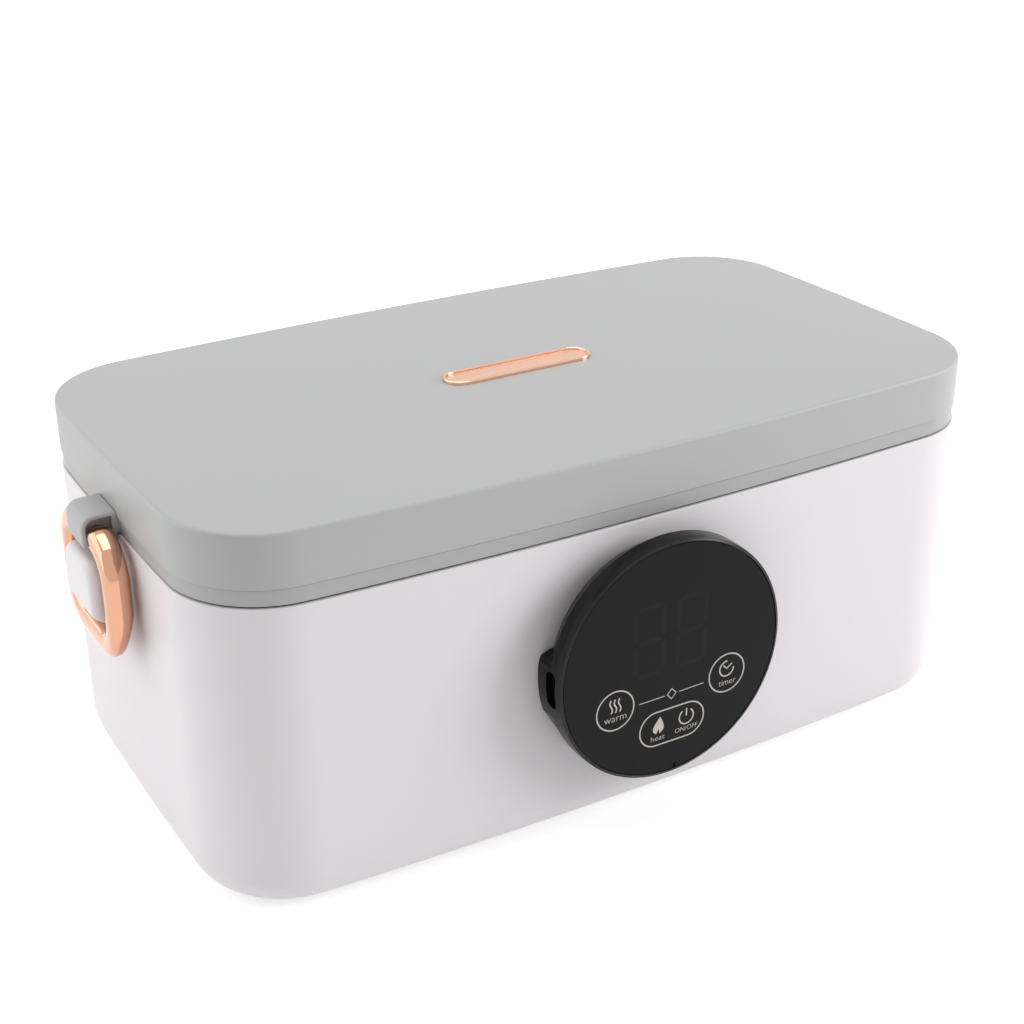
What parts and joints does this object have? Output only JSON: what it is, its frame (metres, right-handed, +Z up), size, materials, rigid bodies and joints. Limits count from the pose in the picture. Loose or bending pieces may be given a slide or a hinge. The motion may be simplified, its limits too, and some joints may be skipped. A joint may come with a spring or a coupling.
{
  "type": "electric lunch box",
  "caption": "Heated lunch box: a bowed, round-cornered body with a lift-off lid, steel food tray, two rose gold ring clasps and a round touch panel on its front.",
  "frame": {"origin": "middle of the footprint, on the surface the feet stand on", "axes": "+Z up, the control panel faces -Y, +X along the length to the right of the panel"},
  "size_m": [0.26, 0.1462, 0.1077],
  "materials": {
    "shell_white": "satin white shell, slightly warm",
    "liner_plastic": "plain light grey moulding",
    "screw_steel": "zinc plated",
    "plate_aluminium": "plain rolled aluminium",
    "heater_rubber": "silicone rubber heating mat",
    "insulation_felt": "pale fibre felt",
    "clamp_steel": "plain sheet steel",
    "fuse_ceramic": "cream ceramic sleeve",
    "board_green": "green solder mask",
    "lead_red": "red insulation",
    "lead_black": "black insulation",
    "cover_plastic": "fine matt grey",
    "foot_rubber": "dark grey rubber",
    "panel_black": "gloss black",
    "lens_black": "gloss black front with printed marks",
    "display_white": "white reflector block",
    "lid_grey": "satin light grey",
    "rim_grey": "satin light grey, a little darker",
    "lid_foam": "white foam",
    "seal_grey": "dark grey silicone",
    "rose_gold": "polished rose gold plating",
    "tray_steel": "brushed stainless steel",
    "tray_lid_plastic": "milky translucent plastic",
    "seal_white": "white silicone",
    "vent_silicone": "coral silicone"
  },
  "bodies": {
    "base": {"outer_body": "shell_white", "inner_liner": "liner_plastic", "liner_screws": "screw_steel", "heating_plate": "plate_aluminium", "heater_pad": "heater_rubber", "insulation_pad": "insulation_felt", "clamp_plate": "clamp_steel", "clamp_screws": "screw_steel", "temperature_sensor": "plate_aluminium", "thermal_fuse": "fuse_ceramic", "power_board": "board_green", "board_screws": "screw_steel", "heater_leads": "lead_red", "panel_lead": "lead_black", "base_cover": "cover_plastic", "base_screws": "screw_steel", "feet": "foot_rubber", "catch_lug_left": "shell_white", "catch_lug_right": "shell_white", "lug_screws": "screw_steel", "panel_housing": "panel_black", "panel_bezel": "panel_black", "panel_lens": "lens_black", "panel_board": "board_green", "display_module": "display_white", "touch_springs": "screw_steel", "panel_screws": "screw_steel", "port_socket": "clamp_steel"},
    "lid": {"lid_cap": "lid_grey", "lid_base": "rim_grey", "lid_insulation": "lid_foam", "lid_gasket": "seal_grey", "lid_plate": "rose_gold", "lid_screws": "screw_steel"},
    "clasp_left": {"clasp_ring_left": "rose_gold"},
    "clasp_right": {"clasp_ring_right": "rose_gold"},
    "tray": {"food_tray": "tray_steel"},
    "tray_lid": {"tray_lid": "tray_lid_plastic", "tray_gasket": "seal_white"},
    "vent": {"vent_plug": "vent_silicone"}
  },
  "joints": [
    {"name": "lid_lift", "type": "slide", "parent": "base", "child": "lid", "axis": [0, 0, 1], "range_m": [0, 0.064]},
    {"name": "clasp_left_swing", "type": "hinge", "parent": "lid", "child": "clasp_left", "pos_m": [-0.1249, 0.00543, 0.0878], "axis": [0, 1, 0], "range_deg": [0, 176]},
    {"name": "clasp_right_swing", "type": "hinge", "parent": "lid", "child": "clasp_right", "pos_m": [0.1249, 0.00543, 0.0878], "axis": [0, -1, 0], "range_deg": [0, 176]},
    {"name": "tray_lift", "type": "slide", "parent": "base", "child": "tray", "axis": [0, 0, 1], "range_m": [0, 0.0521]},
    {"name": "tray_lid_lift", "type": "slide", "parent": "tray", "child": "tray_lid", "axis": [0, 0, 1], "range_m": [0, 0.00605]},
    {"name": "vent_lift", "type": "slide", "parent": "tray_lid", "child": "vent", "axis": [0, 0, 1], "range_m": [0, 0.00405]}
  ],
  "couplings": [
    {"joint": "clasp_left_swing", "follows": "lid_lift", "rad_per_m": 47.99},
    {"joint": "clasp_right_swing", "follows": "lid_lift", "rad_per_m": 47.99},
    {"joint": "tray_lift", "follows": "lid_lift", "ratio": 0.8125},
    {"joint": "tray_lid_lift", "follows": "lid_lift", "ratio": 0.09375},
    {"joint": "vent_lift", "follows": "lid_lift", "ratio": 0.0625}
  ]
}
